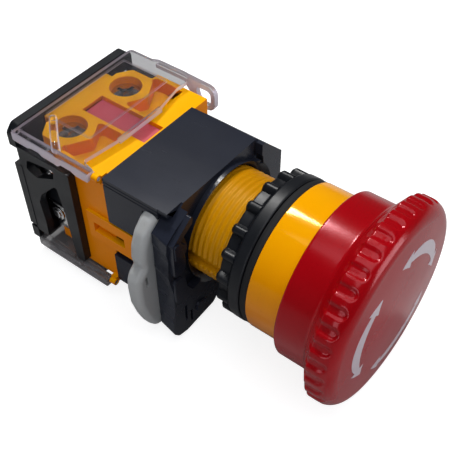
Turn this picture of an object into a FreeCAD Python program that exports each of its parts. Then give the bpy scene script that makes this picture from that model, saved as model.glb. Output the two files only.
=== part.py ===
"""Twist-release emergency stop button with its mounting adaptor and a two-pole contact block.

Frame: millimetres, the button's axis along Y. The face of the panel that the button is mounted in
is the plane y = 0: the mushroom head is on the -Y side, the thread, the adaptor and the contact
block are on the +Y side. +Z is up, towards the adaptor's top plate, and the locking lever is at -X.
"""
import FreeCAD, Part
import math
import os
import re
import Sketcher

doc = FreeCAD.newDocument("EmergencyStopButton")
sheet = doc.addObject("Spreadsheet::Sheet", "Dims")

DIMENSIONS = {
    # mushroom head, all y values measured from the face of the panel
    "cap_radius": 20.0,
    "face_radius": 17.9,
    "dome_radius": 178.5,
    "dome_front": -23.0,
    "face_edge": -22.1,
    "rim_front": -20.0,
    "rim_rear": -17.5,
    "skirt_front": -15.1,
    "skirt_rear": -8.6,
    "skirt_radius": 16.4,
    "skirt_bore": 15.1,
    "cap_floor": -18.2,
    "boss_radius": 7.2,
    "boss_rear": -12.0,
    "stem_front": -21.0,
    "flute_count": 36,
    "flute_width": 2.5,
    "flute_front": -21.0,
    "flute_depth": 0.5,
    "flute_shoulder": 0.9,
    "flute_nose": 0.15,
    "arrow_radius": 12.0,
    "arrow_width": 1.9,
    "arrow_sweep": 72,
    "arrow_head": 2.3,
    "inlay_depth": 0.3,
    # operator body: bezel and threaded barrel
    "push_travel": 4.0,
    "gasket_thickness": 1.5,
    "bezel_radius": 14.7,
    "bezel_front": -13.6,
    "barrel_radius": 11.0,
    "barrel_rear": 21.0,
    "barrel_bore": 8.2,
    "web_front": 3.0,
    "web_rear": 7.0,
    "seal_pocket_radius": 5.0,
    "seal_pocket_depth": 1.6,
    "key_slot_width": 2.0,
    "key_slot_depth": 1.0,
    "gasket_bore": 11.25,
    "gasket_radius": 14.6,
    "nut_bore": 11.06,
    "nut_radius": 14.7,
    "nut_root_radius": 13.4,
    "nut_flange_rear": 2.3,
    "nut_rear": 5.4,
    "nut_ribs": 18,
    "rib_width": 1.9,
    "rib_chamfer": 0.5,
    "spring_wire": 0.4,
    # plunger and twist-release latch
    "stem_radius": 3.3,
    "stem_rear": 13.0,
    "clip_front": 7.1,
    "clip_thickness": 0.8,
    "clip_radius": 5.4,
    "clip_groove_radius": 2.6,
    "pusher_front": 9.0,
    "pusher_rear": 25.85,
    "pusher_radius": 6.7,
    "pusher_nose_radius": 5.2,
    "pin_y": 15.5,
    "pin_radius": 0.9,
    "sleeve_front": 8.0,
    "sleeve_radius": 8.2,
    "sleeve_bore": 6.78,
    "latch_groove_radius": 7.5,
    # mounting adaptor and its locking lever
    "adaptor_front": 12.7,
    "adaptor_rear": 29.8,
    "adaptor_half": 15.3,
    "adaptor_top": 13.0,
    "adaptor_bottom": -17.2,
    "flange_half": 15.9,
    "flange_left": 17.3,
    "plate_setback": 1.6,
    "flange_drop": 0.6,
    "bridge_wall": 2.0,
    "mouth_depth": 1.6,
    "mouth_flare": 0.45,
    "lever_room": 8.0,
    "flange_rear": 16.8,
    "ring_gap_rear": 20.6,
    "adaptor_wall": 1.6,
    "adaptor_bore": 11.1,
    "bevel_start": 9.8,
    "corner_radius": 3.5,
    "side_panel_bottom": 2.0,
    "lower_panel_top": -7.2,
    "ring_bore": 11.15,
    "ring_radius": 12.2,
    "ring_pocket": 12.35,
    "lever_front": 16.9,
    "lever_rear": 20.4,
    "lever_slot_left": -20.0,
    "lever_slot_top": -2.6,
    "lever_slot_width": 0.8,
    "lever_slot_length": 2.8,
    "lever_slot_depth": 1.2,
    # contact block
    "block_front": 29.9,
    "block_rear": 51.6,
    "block_half": 14.6,
    "block_top": 12.0,
    "block_bottom": -15.0,
    "block_middle": -1.5,
    "plate_gap": 0.1,
    "plate_rear": 53.7,
    "plate_half": 16.5,
    "plate_top": 14.0,
    "plate_bottom": -17.2,
    "frame_outer": 16.4,
    "frame_inner": 14.7,
    "frame_front": 38.0,
    "frame_top": 9.8,
    "frame_bottom": -13.0,
    "strut_width": 3.3,
    "strut_foot": -14.6,
    "upper_window_front": 42.3,
    "upper_window_low": 4.9,
    "upper_window_high": 7.6,
    "lower_window_rear": 48.4,
    "lower_window_high": 1.2,
    "notch_low": 4.8,
    "notch_high": 9.4,
    "catch_low": -12.6,
    "catch_high": -11.8,
    "pole_x": 7.8,
    "well_y": 45.5,
    "well_radius": 3.4,
    "washer_room_radius": 4.4,
    "pole_cavity_half": 3.9,
    "pole_front": 34.0,
    "cavity_top": 7.3,
    "cavity_bottom": -10.3,
    "pocket_floor": 9.0,
    "pocket_front": 35.2,
    "pocket_rear": 39.6,
    "pocket_inner": 3.6,
    "pocket_outer": 13.4,
    "corner_x": 8.6,
    "corner_y": 49.8,
    "corner_z": 3.4,
    "entry_x": 11.0,
    "entry_y": 44.0,
    "strip_thickness": 1.0,
    "strip_half": 2.5,
    "strip_front": 36.0,
    "strip_rear": 50.0,
    "leg_half": 2.0,
    "leg_foot": 2.4,
    "leg_thickness": 1.05,
    "nc_leg_front": 36.4,
    "no_leg_front": 48.95,
    "screw_radius": 1.7,
    "screw_length": 3.3,
    "screw_head_radius": 3.0,
    "screw_head_height": 2.2,
    "screw_slot_depth": 1.0,
    "screw_slot_width": 0.8,
    "screw_slot_length": 4.4,
    "washer_half": 2.9,
    "washer_thickness": 1.0,
    "fit": 0.05,
    "carrier_half": 2.65,
    "nose_radius": 4.2,
    "carrier_front": 31.1,
    "carrier_rear": 47.0,
    "carrier_top": 11.15,
    "channel_half": 2.75,
    "roof_bottom": 11.3,
    "nc_arm_front": 42.8,
    "no_arm_front": 38.0,
    "carrier_arm": 1.2,
    "carrier_spring_front": 39.0,
    "carrier_spring_bore": 1.9,
    "bridge_half": 6.2,
    "bridge_width": 3.0,
    "bridge_thickness": 0.6,
    "nc_bridge_front": 37.5,
    "no_bridge_front": 44.3,
    "arm_half": 2.2,
    "catch_arm_inner": 14.0,
    "catch_arm_outer": 15.25,
    "catch_arm_front": 22.2,
    "catch_arm_rear": 36.0,
    "catch_arm_low": -5.6,
    "catch_arm_high": 1.4,
    "catch_slot_front": 26.5,
    "catch_slot_rear": 34.4,
    "catch_slot_low": -3.4,
    "catch_slot_high": -1.0,
    # hinged terminal covers
    "cover_axis_x": -15.6,
    "cover_axis_z": 12.7,
    "cover_thickness": 1.0,
    "cover_half": 17.0,
    "cover_front": 34.8,
    "cover_rear": 51.5,
    "cover_lift": 0.2,
    "edge_front": 31.7,
    "rail_front": 31.8,
    "rail_radius": 0.8,
    "nub_radius": 0.45,
    "lug_front": 30.2,
    "lug_rear": 31.6,
    "ear_front": 29.0,
    "ear_drop": 5.0,
    "eye_front": 30.2,
    "eye_low": 3.6,
    "eye_high": 0.2,
    "lip_half": 6.0,
}
for row, (alias, size) in enumerate(DIMENSIONS.items(), start=1):
    sheet.set(f"A{row}", alias)
    sheet.set(f"B{row}", str(size))
    sheet.setAlias(f"B{row}", alias)
doc.recompute()

TURN_TO_Y = FreeCAD.Rotation(FreeCAD.Vector(1, 0, 0), -90)
TURN_TO_X = FreeCAD.Rotation(FreeCAD.Vector(0, 1, 0), 90)
UPRIGHT = FreeCAD.Rotation()
nodes = []


def bound(text):
    """The expression with the name of every dimension pointed at the sheet."""
    def pointed(word):
        return "Dims." + word.group() if word.group() in DIMENSIONS else word.group()

    return re.sub(r"[a-z_]+", pointed, str(text))


def number(text):
    """The present value of an expression."""
    return float(sheet.evalExpression(bound(text)))


def place(item, x, y, z, rotation=UPRIGHT):
    item.Placement = FreeCAD.Placement(FreeCAD.Vector(number(x), number(y), number(z)), rotation)
    for axis, text in zip("xyz", (x, y, z)):
        item.setExpression("Placement.Base." + axis, bound(text))
    return item


def box(name, x, y, z, rotation=UPRIGHT):
    """A box between the low and high limits given for x, y and z, turned about its low corner if asked."""
    solid = doc.addObject("Part::Box", name)
    for size, (low, high) in zip(("Length", "Width", "Height"), (x, y, z)):
        solid.setExpression(size, bound(f"({high}) - ({low})"))
    return place(solid, x[0], y[0], z[0], rotation)


def rod(name, radius, along, first=0, second=0, axis="y"):
    """A cylinder between two limits along its axis; first and second place it in the other two axes."""
    solid = doc.addObject("Part::Cylinder", name)
    solid.setExpression("Radius", bound(radius))
    solid.setExpression("Height", bound(f"({along[1]}) - ({along[0]})"))
    if axis == "x":
        return place(solid, along[0], first, second, TURN_TO_X)
    if axis == "y":
        return place(solid, first, along[0], second, TURN_TO_Y)
    return place(solid, first, second, along[0])


def join(name, *solids):
    union = doc.addObject("Part::MultiFuse", name)
    union.Shapes = list(solids)
    return union


def cut(name, base, *tools):
    tool = tools[0] if len(tools) == 1 else join(name + "Tools", *tools)
    result = doc.addObject("Part::Cut", name)
    result.Base = base
    result.Tool = tool
    return result


def common(name, base, tool):
    result = doc.addObject("Part::Common", name)
    result.Base = base
    result.Tool = tool
    return result


def rounded(name, solid):
    """The same box with its two lower edges along Y rounded."""
    doc.recompute()
    bottom = solid.Shape.BoundBox.ZMin
    radius = number("corner_radius")
    result = doc.addObject("Part::Fillet", name)
    result.Base = solid
    result.Edges = [(index, radius, radius) for index, edge in enumerate(solid.Shape.Edges, start=1)
                    if abs(edge.BoundBox.ZMax - bottom) < 0.01 and edge.BoundBox.XLength < 0.01]
    return result


def node(solid, label):
    """Marks a finished sub-part and gives it the label that names its file."""
    solid.Label = label
    nodes.append(solid)
    return solid


def origin_plane(body, role):
    return next(part for part in body.Origin.OriginFeatures if part.Role == role)


def outline(body, name, role, points, offset="0"):
    """A closed sketch of straight lines whose corners are held by expressions."""
    sketch = body.newObject("Sketcher::SketchObject", name)
    sketch.AttachmentSupport = (origin_plane(body, role), [""])
    sketch.MapMode = "FlatFace"
    sketch.setExpression("AttachmentOffset.Base.z", bound(offset))
    corners = [FreeCAD.Vector(number(u), number(v), 0) for u, v in points]
    for start, end in zip(corners, corners[1:] + corners[:1]):
        sketch.addGeometry(Part.LineSegment(start, end))
    count = len(corners)
    for index in range(count):
        sketch.addConstraint(Sketcher.Constraint("Coincident", index, 2, (index + 1) % count, 1))
    for index, (u, v) in enumerate(points):
        for kind, text, value in (("DistanceX", u, corners[index].x), ("DistanceY", v, corners[index].y)):
            held = sketch.addConstraint(Sketcher.Constraint(kind, -1, 1, index, 1, value))
            sketch.setExpression(f"Constraints[{held}]", bound(text))
    return sketch


def turned(name, points):
    """A body turned about the button's axis from (radius, y) corners."""
    body = doc.addObject("PartDesign::Body", name)
    sketch = outline(body, name + "Section", "XY_Plane", points)
    revolution = body.newObject("PartDesign::Revolution", name + "Turn")
    revolution.Profile = sketch
    revolution.ReferenceAxis = (sketch, ["V_Axis"])
    revolution.Angle = 360
    sketch.Visibility = False
    doc.recompute()
    return body


def around_axis(body, feature, name, count):
    """Repeats a feature evenly around the button's axis."""
    pattern = body.newObject("PartDesign::PolarPattern", name)
    pattern.Originals = [feature]
    pattern.Axis = (next(part for part in body.Origin.OriginFeatures if part.Role == "Y_Axis"), [""])
    pattern.Angle = 360
    pattern.setExpression("Occurrences", bound(count))
    body.Tip = pattern
    doc.recompute()
    return pattern


def coil(label, radius, wire, along, turns, first=0, second=0, axis="y"):
    """A round-wire compression spring between two limits along its axis."""
    length = f"({along[1]}) - ({along[0]}) - 2 * ({wire})"
    helix = doc.addObject("Part::Helix", label + "_path")
    helix.setExpression("Radius", bound(radius))
    helix.setExpression("Height", bound(length))
    helix.setExpression("Pitch", bound(f"({length}) / {turns}"))
    circle = doc.addObject("Part::Circle", label + "_wire")
    circle.setExpression("Radius", bound(wire))
    place(circle, radius, 0, 0, FreeCAD.Rotation(FreeCAD.Vector(1, 0, 0), 90))
    sweep = doc.addObject("Part::Sweep", label + "_coil")
    sweep.Sections = [circle]
    sweep.Spine = (helix, ["Edge1"])
    sweep.Solid = True
    sweep.Frenet = True
    start = f"({along[0]}) + ({wire})"
    if axis == "x":
        place(sweep, start, first, second, TURN_TO_X)
    else:
        place(sweep, first, start, second, TURN_TO_Y)
    return node(sweep, label)


# ---------------------------------------------------------------- mushroom head

cap_body = turned("CapBody", [
    ("0", "dome_front"),
    ("face_radius - 1.2", "dome_front"),
    ("face_radius", "face_edge"),
    ("cap_radius - 0.5", "rim_front - 0.9"),
    ("cap_radius", "rim_front"),
    ("cap_radius", "rim_rear"),
    ("skirt_radius", "skirt_front"),
    ("skirt_radius", "skirt_rear"),
    ("skirt_bore", "skirt_rear"),
    ("skirt_bore", "cap_floor"),
    ("boss_radius", "cap_floor"),
    ("boss_radius", "boss_rear"),
    ("stem_radius", "boss_rear"),
    ("stem_radius", "stem_front"),
    ("0", "stem_front"),
])
flute_sketch = outline(cap_body, "FluteOutline", "XY_Plane", [
    ("-flute_width / 2", "skirt_rear"),
    ("-flute_width / 2", "flute_front + flute_shoulder"),
    ("-flute_width / 4", "flute_front + flute_nose"),
    ("flute_width / 4", "flute_front + flute_nose"),
    ("flute_width / 2", "flute_front + flute_shoulder"),
    ("flute_width / 2", "skirt_rear"),
], offset="cap_radius - flute_depth")
flute = cap_body.newObject("PartDesign::Pocket", "Flute")
flute.Profile = flute_sketch
flute.Type = "Length"
flute.setExpression("Length", bound("cap_radius - skirt_radius"))
flute.Reversed = True
volume_before = cap_body.Shape.Volume
doc.recompute()
around_axis(cap_body, flute, "Flutes", "flute_count")
if not cap_body.Shape.Volume < volume_before - 10:
    raise RuntimeError("the flutes cut nothing")


def dome(name, setback):
    """The sphere whose front gives the head its slight dome, set back by the given depth."""
    ball = doc.addObject("Part::Sphere", name)
    ball.setExpression("Radius", bound("dome_radius"))
    return place(ball, 0, f"dome_front + dome_radius + {setback}", 0)


def arrow(index, middle):
    """A curved band with a head at each end, on the face of the cap, centred on an angle in degrees."""
    reach = ("face_edge - 3", "face_edge + 1")
    outer = rod(f"ArrowOuter{index}", "arrow_radius + arrow_width / 2", reach)
    outer.setExpression("Angle", bound("arrow_sweep"))
    start = number(f"{middle} - arrow_sweep / 2")
    outer.Placement.Rotation = FreeCAD.Rotation(FreeCAD.Vector(0, 1, 0), -start).multiply(
        FreeCAD.Rotation(FreeCAD.Vector(1, 0, 0), 90))
    outer.setExpression("Placement.Base.y", bound(reach[1]))
    inner = rod(f"ArrowInner{index}", "arrow_radius - arrow_width / 2", reach)
    band = cut(f"ArrowBand{index}", outer, inner)
    pieces = [band]
    for end in (-1, 1):
        angle = math.radians(number(f"{middle} + {end} * arrow_sweep / 2"))
        head = doc.addObject("Part::Prism", f"ArrowHead{index}{'ab'[end > 0]}")
        head.Polygon = 3
        head.setExpression("Circumradius", bound("arrow_head"))
        head.Height = 4
        turn = math.degrees(angle) + 90 * end
        head.Placement = FreeCAD.Placement(
            FreeCAD.Vector(number("arrow_radius") * math.cos(angle), number(reach[1]),
                           number("arrow_radius") * math.sin(angle)),
            FreeCAD.Rotation(FreeCAD.Vector(0, 1, 0), -turn).multiply(
                FreeCAD.Rotation(FreeCAD.Vector(1, 0, 0), 90)))
        head.setExpression("Placement.Base.x", bound(f"arrow_radius * cos({math.degrees(angle)} deg)"))
        head.setExpression("Placement.Base.z", bound(f"arrow_radius * sin({math.degrees(angle)} deg)"))
        pieces.append(head)
    return join(f"Arrow{index}", *pieces)


ARROW_MIDDLES = (50, 170, 290)
arrow_prisms = join("ArrowPrisms", *[arrow(index, middle) for index, middle in enumerate(ARROW_MIDDLES)])
domed_arrows = common("DomedArrows", arrow_prisms, dome("DomeSurface", "0"))
arrows = node(cut("ArrowInlays", domed_arrows, dome("DomeFloor", "inlay_depth")), "release_arrows")
domed_cap = common("DomedCap", cap_body, dome("CapDome", "0"))
node(cut("MushroomCap", domed_cap, arrows), "mushroom_cap")

node(turned("PlungerStem", [
    ("0", "stem_front"),
    ("stem_radius", "stem_front"),
    ("stem_radius", "clip_front"),
    ("clip_groove_radius", "clip_front"),
    ("clip_groove_radius", "clip_front + clip_thickness"),
    ("stem_radius", "clip_front + clip_thickness"),
    ("stem_radius", "stem_rear - 0.5"),
    ("stem_radius - 0.5", "stem_rear"),
    ("0", "stem_rear"),
]), "plunger_stem")
clip_ring = cut("ClipRing", rod("ClipDisc", "clip_radius", ("clip_front", "clip_front + clip_thickness")),
                rod("ClipHole", "clip_groove_radius", ("clip_front - 1", "clip_front + 2")),
                box("ClipMouth", ("-clip_groove_radius + 0.3", "clip_groove_radius - 0.3"),
                    ("clip_front - 1", "clip_front + 2"), ("-clip_radius - 1", 0)))
node(clip_ring, "stem_clip")

# ------------------------------------------------- operator body, gasket and nut

operator = turned("OperatorTurned", [
    ("barrel_bore", "bezel_front"),
    ("bezel_radius - 0.6", "bezel_front"),
    ("bezel_radius", "bezel_front + 0.6"),
    ("bezel_radius", "-gasket_thickness"),
    ("barrel_radius", "-gasket_thickness"),
    ("barrel_radius", "barrel_rear - 0.8"),
    ("barrel_radius - 0.8", "barrel_rear"),
    ("barrel_bore", "barrel_rear"),
    ("barrel_bore", "web_rear"),
    ("stem_radius + 0.05", "web_rear"),
    ("stem_radius + 0.05", "web_front + seal_pocket_depth"),
    ("seal_pocket_radius", "web_front + seal_pocket_depth"),
    ("seal_pocket_radius", "web_front"),
    ("barrel_bore", "web_front"),
])
key_slot = box("KeySlot", ("-barrel_radius - 1", "-barrel_radius + key_slot_depth"), ("2",
                                                                                      "barrel_rear + 1"),
               ("-key_slot_width - 1.2", "-1.2"))
node(cut("OperatorBody", operator, key_slot), "operator_body")

node(turned("PanelGasket", [
    ("gasket_bore", "-gasket_thickness"),
    ("gasket_radius", "-gasket_thickness"),
    ("gasket_radius", "0"),
    ("gasket_bore", "0"),
]), "panel_gasket")

nut = turned("NutTurned", [
    ("nut_bore", "0.05"),
    ("nut_radius - 0.3", "0.05"),
    ("nut_radius", "0.35"),
    ("nut_radius", "nut_flange_rear"),
    ("nut_root_radius", "nut_flange_rear + 0.7"),
    ("nut_root_radius", "nut_rear - 0.4"),
    ("nut_root_radius - 0.4", "nut_rear"),
    ("nut_bore", "nut_rear"),
])
rib_sketch = outline(nut, "RibOutline", "XZ_Plane", [
    ("-rib_width / 2", "nut_root_radius - 0.3"),
    ("rib_width / 2", "nut_root_radius - 0.3"),
    ("rib_width / 2", "nut_radius - 0.6"),
    ("rib_width / 2 - rib_chamfer", "nut_radius - 0.1"),
    ("-rib_width / 2 + rib_chamfer", "nut_radius - 0.1"),
    ("-rib_width / 2", "nut_radius - 0.6"),
], offset="-nut_rear")
rib = nut.newObject("PartDesign::Pad", "Rib")
rib.Profile = rib_sketch
rib.setExpression("Length", bound("nut_rear - nut_flange_rear + 0.4"))
doc.recompute()
around_axis(nut, rib, "Ribs", "nut_ribs")
node(nut, "ring_nut")

node(turned("StemSeal", [
    ("stem_radius + 0.06", "web_front + 0.1"),
    ("seal_pocket_radius", "web_front + 0.1"),
    ("seal_pocket_radius", "web_front + seal_pocket_depth"),
    ("stem_radius + 0.06", "web_front + seal_pocket_depth"),
]), "stem_seal")

coil("return_spring", "boss_radius - 0.9", "spring_wire", ("boss_rear", "web_front"), 6)

# -------------------------------------------------------- twist-release latch

node(turned("LatchSleeve", [
    ("sleeve_bore", "sleeve_front"),
    ("sleeve_radius", "sleeve_front"),
    ("sleeve_radius", "barrel_rear"),
    ("sleeve_bore", "barrel_rear"),
    ("sleeve_bore", "pin_y + push_travel + pin_radius + 0.2"),
    ("latch_groove_radius", "pin_y + push_travel + pin_radius + 0.2"),
    ("latch_groove_radius", "pin_y + push_travel - pin_radius - 0.2"),
    ("sleeve_bore", "pin_y + push_travel - pin_radius - 0.8"),
]), "latch_sleeve")

pusher = turned("PusherTurned", [
    ("stem_radius + 0.05", "pusher_front"),
    ("pusher_radius", "pusher_front"),
    ("pusher_radius", "pin_y + 2.5"),
    ("pusher_nose_radius", "pin_y + 4"),
    ("pusher_nose_radius", "pusher_rear - 0.5"),
    ("pusher_nose_radius - 0.5", "pusher_rear"),
    ("0", "pusher_rear"),
    ("0", "stem_rear + 0.1"),
    ("stem_radius + 0.05", "stem_rear + 0.1"),
])
node(cut("Pusher", pusher, rod("PinHole", "pin_radius + 0.05", ("-pusher_radius - 1",
                                                                "pusher_radius + 1"),
                               "pin_y", 0, axis="x")), "pusher")
PIN_INNER = "3.2"
node(join("LatchPins",
          rod("PinRight", "pin_radius", (PIN_INNER, "pusher_radius"), "pin_y", 0, axis="x"),
          rod("PinLeft", "pin_radius", ("-pusher_radius", f"-{PIN_INNER}"), "pin_y", 0, axis="x")),
          "latch_pins")
coil("latch_spring", "0.6", "0.15", (f"-{PIN_INNER}", PIN_INNER), 9, "pin_y", 0, axis="x")

# ------------------------------------------------------------ mounting adaptor

top_plate = box("TopPlate", ("-adaptor_half", "adaptor_half"), ("adaptor_front + plate_setback",
                                                                "adaptor_rear"),
                ("adaptor_top - corner_radius", "adaptor_top"))
flange = box("Flange", ("-flange_left", "flange_half"), ("adaptor_front", "flange_rear"),
             ("adaptor_bottom", "adaptor_top - flange_drop"))
rear_shell = box("RearShell", ("-adaptor_half", "adaptor_half"), ("ring_gap_rear", "adaptor_rear"),
                 ("adaptor_bottom", "adaptor_top - flange_drop"))
right_wall = box("RightWall", ("adaptor_half - bridge_wall", "adaptor_half"), ("flange_rear",
                                                                               "ring_gap_rear"),
                 ("adaptor_bottom + corner_radius", "adaptor_top - flange_drop"))
floor_wall = box("FloorWall", ("bridge_wall", "adaptor_half - corner_radius"), ("flange_rear",
                                                                                "ring_gap_rear"),
                 ("adaptor_bottom", "adaptor_bottom + bridge_wall"))
adaptor_block = join("AdaptorBlock", top_plate, rounded("FlangeRounded", flange),
                     rounded("ShellRounded", rear_shell), right_wall, floor_wall)
shell_room = box("ShellRoom", ("-adaptor_half + adaptor_wall", "adaptor_half - adaptor_wall"),
                 ("ring_gap_rear + bridge_wall", "adaptor_rear + 1"),
                 ("adaptor_bottom + adaptor_wall", "adaptor_top - adaptor_wall"))
side_windows = box("SideWindows", ("-adaptor_half - 1", "adaptor_half + 1"),
                   ("ring_gap_rear + 1", "adaptor_rear + 1"), ("lower_panel_top", "side_panel_bottom"))
barrel_hole = rod("BarrelHole", "adaptor_bore", ("adaptor_front - 1", "ring_gap_rear + bridge_wall + 1"))
hole_mouth = doc.addObject("Part::Cone", "HoleMouth")
hole_mouth.setExpression("Radius1", bound("ring_pocket + mouth_flare"))
hole_mouth.setExpression("Radius2", bound("adaptor_bore"))
hole_mouth.setExpression("Height", bound("mouth_depth"))
place(hole_mouth, 0, "adaptor_front - 0.01", 0, TURN_TO_Y)
ring_pocket = rod("RingPocket", "ring_pocket", ("flange_rear", "ring_gap_rear"))
lever_gap = box("LeverGap", ("-flange_left - lever_room", "1"), ("flange_rear", "ring_gap_rear"),
                ("adaptor_bottom - lever_room", "adaptor_top - 2.5"))
right_bevel = box("RightBevel", ("bevel_start", "bevel_start + 20"), ("adaptor_front - 1",
                                                                      "adaptor_rear + 1"),
                  ("adaptor_top", "adaptor_top + 20"), FreeCAD.Rotation(FreeCAD.Vector(0, 1, 0), 45))
node(cut("AdaptorBody", adaptor_block, shell_room, side_windows, barrel_hole, hole_mouth, ring_pocket,
         lever_gap, right_bevel), "adaptor_body")

# the lever's wing as (x, z) corners, from the ring's top round its two lobes and back
LEVER_OUTLINE = [
    (-7.0, 10.1), (-11.5, 10.2), (-14.6, 9.6), (-16.8, 8.7), (-18.3, 7.1), (-19.1, 5.2), (-19.5, 2.6),
    (-19.6, 1.0), (-20.8, 0.0), (-21.7, -1.8), (-22.0, -4.2), (-21.7, -8.0), (-20.8, -12.0), (-19.6,
                                                                                              -15.2),
    (-18.2, -17.0), (-16.6, -17.6), (-15.2, -16.6), (-13.6, -12.0), (-11.0, -7.2),
]
lever_body = doc.addObject("PartDesign::Body", "LeverWing")
lever_sketch = outline(lever_body, "LeverOutline", "XZ_Plane", LEVER_OUTLINE, offset="-lever_rear")
lever_pad = lever_body.newObject("PartDesign::Pad", "LeverPad")
lever_pad.Profile = lever_sketch
lever_pad.setExpression("Length", bound("lever_rear - lever_front"))
doc.recompute()
lever_ring = rod("LeverRing", "ring_radius", ("lever_front", "lever_rear"))
lever_bore = rod("LeverBore", "ring_bore", ("lever_front - 1", "lever_rear + 1"))
lever_slot = box("LeverSlot", ("lever_slot_left", "lever_slot_left + lever_slot_width"),
                 ("lever_front - 1", "lever_front + lever_slot_depth"),
                 ("lever_slot_top - lever_slot_length", "lever_slot_top"))
node(cut("LockLever", join("LeverJoined", lever_body, lever_ring), lever_bore, lever_slot), "lock_lever")

# ---------------------------------------------------------------- contact block

SIDES = (("Left", -1), ("Right", 1))


def beside(sign, inner, outer):
    """The x limits of something between two distances from the middle, on the side given by sign."""
    if sign > 0:
        return (inner, outer)
    return (f"-({outer})", f"-({inner})")


def mirrored(low, high, upper):
    """Height limits as given for the upper half, or mirrored about the block's middle for the lower one."""
    if upper:
        return (low, high)
    return (f"2 * block_middle - ({high})", f"2 * block_middle - ({low})")


LEVELS = (("Top", True), ("Bottom", False))
LUG_HEIGHTS = {"Top": "cover_axis_z", "Bottom": "2 * block_middle - cover_axis_z"}

housing_parts = [box("HousingBlock", ("-block_half", "block_half"), ("block_front", "block_rear"),
                     ("block_bottom", "block_top"))]
housing_tools = [
    rod("NoseHole", "nose_radius + 0.2", ("block_front - 1", "pole_front")),
    box("CarrierChannel", ("-channel_half", "channel_half"), ("carrier_front - 0.1", "block_rear + 1"),
        ("cavity_bottom", "roof_bottom")),
    box("CarrierOpening", ("-channel_half", "channel_half"), ("carrier_front - 0.1",
                                                              "carrier_rear + 0.1"),
        ("roof_bottom - 1", "block_top + 1")),
    box("ArmSlots", (-5, 5), ("no_arm_front - 0.6", "block_rear + 1"),
        ("block_middle - arm_half - 0.2", "block_middle + arm_half + 0.2")),
]
for side, sign in SIDES:
    centre = f"{sign} * pole_x"
    housing_parts.append(box(f"CatchArm{side}", beside(sign, "catch_arm_inner", "catch_arm_outer"),
                             ("catch_arm_front", "catch_arm_rear"), ("catch_arm_low", "catch_arm_high")))
    housing_tools.append(box(f"CatchSlot{side}", beside(sign, "catch_arm_inner", "catch_arm_outer + 0.5"),
                             ("catch_slot_front", "catch_slot_rear"), ("catch_slot_low",
                                                                       "catch_slot_high")))
    housing_tools.append(box(f"PoleCavity{side}", (f"{centre} - pole_cavity_half",
                                                   f"{centre} + pole_cavity_half"),
                             ("pole_front", "block_rear + 1"), ("cavity_bottom", "cavity_top")))
    housing_tools.append(rod(f"Wells{side}", "well_radius", ("block_bottom - 1", "block_top + 1"), centre,
                             "well_y", axis="z"))
    for level, upper in LEVELS:
        tag = side + level
        housing_tools.append(rod(f"WasherRoom{tag}", "washer_room_radius",
                                 mirrored("cavity_top - 0.1", "cavity_top + washer_thickness + 0.1",
                                          upper),
                                 centre, "well_y", axis="z"))
        housing_tools.append(box(f"Pocket{tag}", beside(sign, "pocket_inner", "pocket_outer"),
                                 ("pocket_front", "pocket_rear"), mirrored("pocket_floor",
                                                                           "block_top + 1", upper)))
        housing_tools.append(box(f"RearCorner{tag}", beside(sign, "corner_x", "block_half + 1"),
                                 ("corner_y", "block_rear + 1"), mirrored("corner_z", "block_top + 1",
                                                                          upper)))
        housing_tools.append(box(f"SideEntry{tag}", beside(sign, "entry_x", "block_half + 1"),
                                 ("entry_y", "block_rear + 1"), mirrored("corner_z", "cavity_top",
                                                                         upper)))
for level, upper in LEVELS:
    height = LUG_HEIGHTS[level]
    housing_parts.append(rod(f"CoverLug{level}", "rail_radius - fit", ("lug_front", "lug_rear"),
                             "cover_axis_x",
                             height))
    housing_parts.append(box(f"LugFoot{level}", ("cover_axis_x", "-block_half + 1"), ("lug_front",
                                                                                      "lug_rear"),
                             mirrored("cover_axis_z - 1.3", "cover_axis_z + 0.2", upper)))
    housing_tools.append(rod(f"LugHole{level}", "nub_radius + fit", ("lug_front - 1", "lug_rear + 1"),
                             "cover_axis_x", height))
node(cut("ContactHousing", join("HousingFull", *housing_parts), *housing_tools), "contact_housing")

frame_parts = [box("BackPlate", ("-plate_half", "plate_half"), ("block_rear + plate_gap", "plate_rear"),
                   ("plate_bottom", "plate_top"))]
frame_tools = []
for side, sign in SIDES:
    wall = beside(sign, "frame_inner", "frame_outer")
    through = beside(sign, "frame_inner - 1", "frame_outer + 1")
    frame_parts.append(box(f"SideFrame{side}", wall, ("frame_front", "block_rear + 2 * plate_gap"),
                           ("frame_bottom", "frame_top")))
    frame_parts.append(box(f"StrutFoot{side}", wall, ("frame_front", "frame_front + strut_width"),
                           ("strut_foot", "frame_bottom + 0.1")))
    frame_tools.append(box(f"UpperWindow{side}", through, ("upper_window_front", "lower_window_rear + 1"),
                           ("upper_window_low", "upper_window_high")))
    frame_tools.append(box(f"LowerWindow{side}", through, ("frame_front + strut_width",
                                                           "lower_window_rear"),
                           ("strut_foot - 1", "lower_window_high")))
    frame_tools.append(box(f"WireNotch{side}", beside(sign, "frame_inner - 1.5", "plate_half + 1"),
                           ("block_rear", "plate_rear + 1"), ("notch_low", "notch_high")))
    frame_tools.append(box(f"CatchNotch{side}", beside(sign, "frame_outer - 0.8", "plate_half + 1"),
                           ("block_rear", "plate_rear + 1"), ("catch_low", "catch_high")))
for level, height in LUG_HEIGHTS.items():
    frame_tools.append(rod(f"FrameNubHole{level}", "nub_radius + fit", ("block_rear - 1",
                                                                        "block_rear + 1.5"),
                           "cover_axis_x", height))
node(cut("BackFrame", join("FrameFull", *frame_parts), *frame_tools), "back_frame")

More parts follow.
